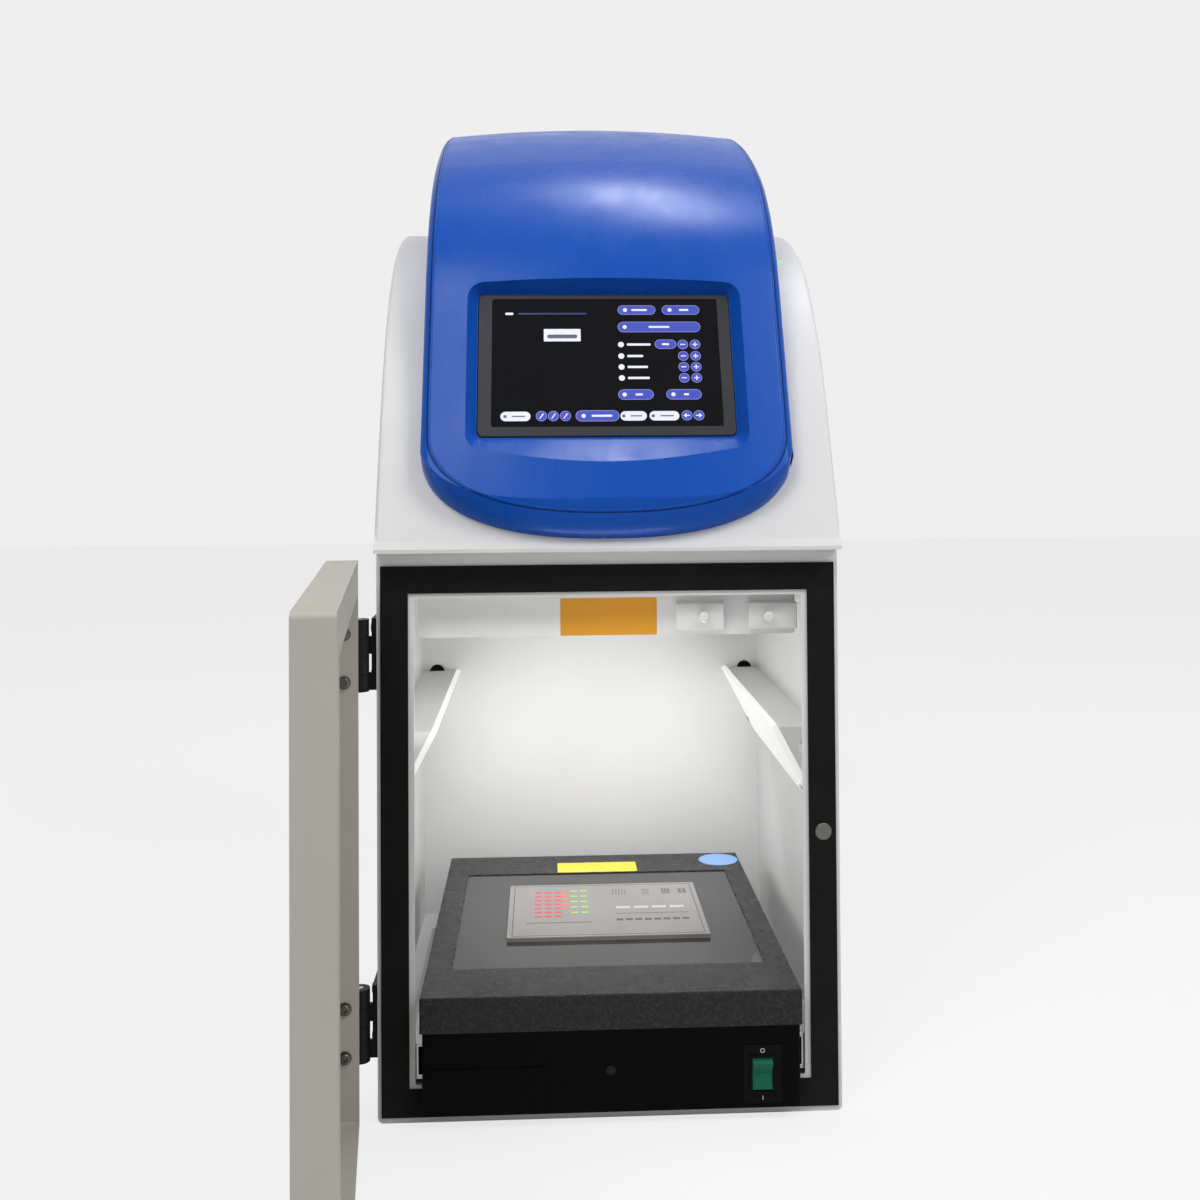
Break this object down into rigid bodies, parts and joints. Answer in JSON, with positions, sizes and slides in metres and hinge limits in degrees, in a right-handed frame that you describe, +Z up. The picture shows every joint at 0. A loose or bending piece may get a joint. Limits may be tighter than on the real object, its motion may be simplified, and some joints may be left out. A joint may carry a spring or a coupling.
{
  "type": "gel documentation system",
  "caption": "Bench gel documentation system: white darkroom cabinet with a hinged door, blue screen cover over a sloping hood, and an ultraviolet transilluminator on slide rails.",
  "frame": {"origin": "middle of the cabinet's underside, on the surface it stands on", "axes": "+X to the right seen from the front, +Y to the back, +Z up"},
  "size_m": [0.3404, 0.6847, 0.7323],
  "materials": {
    "white_paint": "satin",
    "blue_shell": "gloss",
    "black_plastic": "satin",
    "black_gloss": "gloss",
    "black_metal": "satin",
    "foam": "matt",
    "chrome": "polished",
    "steel": "brushed",
    "aluminium": "satin",
    "dark_glass": "gloss",
    "filter": "gloss",
    "orange_glass": "gloss",
    "lamp_glow": "satin",
    "green_glow": "gloss",
    "white_plastic": "satin",
    "board_green": "satin",
    "tube_glass": "gloss"
  },
  "bodies": {
    "cabinet": {"cabinet_shell": "white_paint", "floor_panel": "white_paint", "ceiling_panel": "white_paint", "back_panel": "white_paint", "rear_panel": "white_paint", "header_panel": "white_paint", "switch_bodies": "white_plastic", "lamp_housing_right": "white_paint", "lamp_housing_left": "white_paint", "lamp_diffuser_right": "lamp_glow", "lamp_diffuser_left": "lamp_glow", "led_strips": "board_green", "lamp_screws": "steel", "cable_grommets": "foam", "gasket_left": "foam", "gasket_right": "foam", "gasket_top": "foam", "gasket_bottom": "foam", "catch_magnet": "chrome", "hinge_leaves_cabinet": "black_metal", "hinge_pins": "steel", "hinge_screws_cabinet": "black_metal", "hood_shell": "white_paint", "display_cover": "blue_shell", "screen_bezel": "black_gloss", "touch_glass": "dark_glass", "display_module": "black_plastic", "status_led": "green_glow", "camera_body": "black_metal", "zoom_lens": "black_metal", "camera_bracket": "aluminium", "filter_ring": "aluminium", "emission_filter": "orange_glass", "computer_board": "board_green", "power_supply": "steel", "hood_rear_panel": "white_paint", "mains_inlet": "black_plastic", "inlet_pins": "steel", "usb_sockets": "steel", "rails_outer": "steel", "rail_brackets": "steel"},
    "door": {"door_panel": "white_paint", "hinge_leaves_door": "black_metal", "hinge_screws_door": "steel"},
    "transilluminator": {"unit_base": "black_metal", "unit_front_panel": "black_gloss", "unit_lid": "black_plastic", "filter_glass": "filter", "uv_tubes": "tube_glass", "tube_caps": "aluminium", "reflector": "aluminium", "ballast": "steel", "sample_card": "white_plastic", "blank_plate": "black_plastic", "pilot_screw": "black_metal", "switch_housing": "black_plastic", "rails_inner": "steel"},
    "left_plunger": {"plunger_left": "white_plastic"},
    "right_plunger": {"plunger_right": "white_plastic"},
    "lamp_rocker": {"rocker": "green_glow"}
  },
  "joints": [
    {"name": "door_hinge", "type": "hinge", "parent": "cabinet", "child": "door", "pos_m": [-0.166, -0.1818, 0.188], "axis": [0, 0, -1], "range_deg": [-84, 86]},
    {"name": "drawer_slide", "type": "slide", "parent": "cabinet", "child": "transilluminator", "axis": [0, -1, 0], "range_m": [0, 0.2]},
    {"name": "plunger_left_push", "type": "slide", "parent": "cabinet", "child": "left_plunger", "axis": [0, 1, 0], "range_m": [0, 0.005], "stiffness_N_per_m": 250},
    {"name": "plunger_right_push", "type": "slide", "parent": "cabinet", "child": "right_plunger", "axis": [0, 1, 0], "range_m": [0, 0.005], "stiffness_N_per_m": 250},
    {"name": "rocker_tilt", "type": "hinge", "parent": "transilluminator", "child": "lamp_rocker", "pos_m": [0.0994, -0.1898, 0.0314], "axis": [-1, 0, 0], "range_deg": [0, 18]}
  ]
}
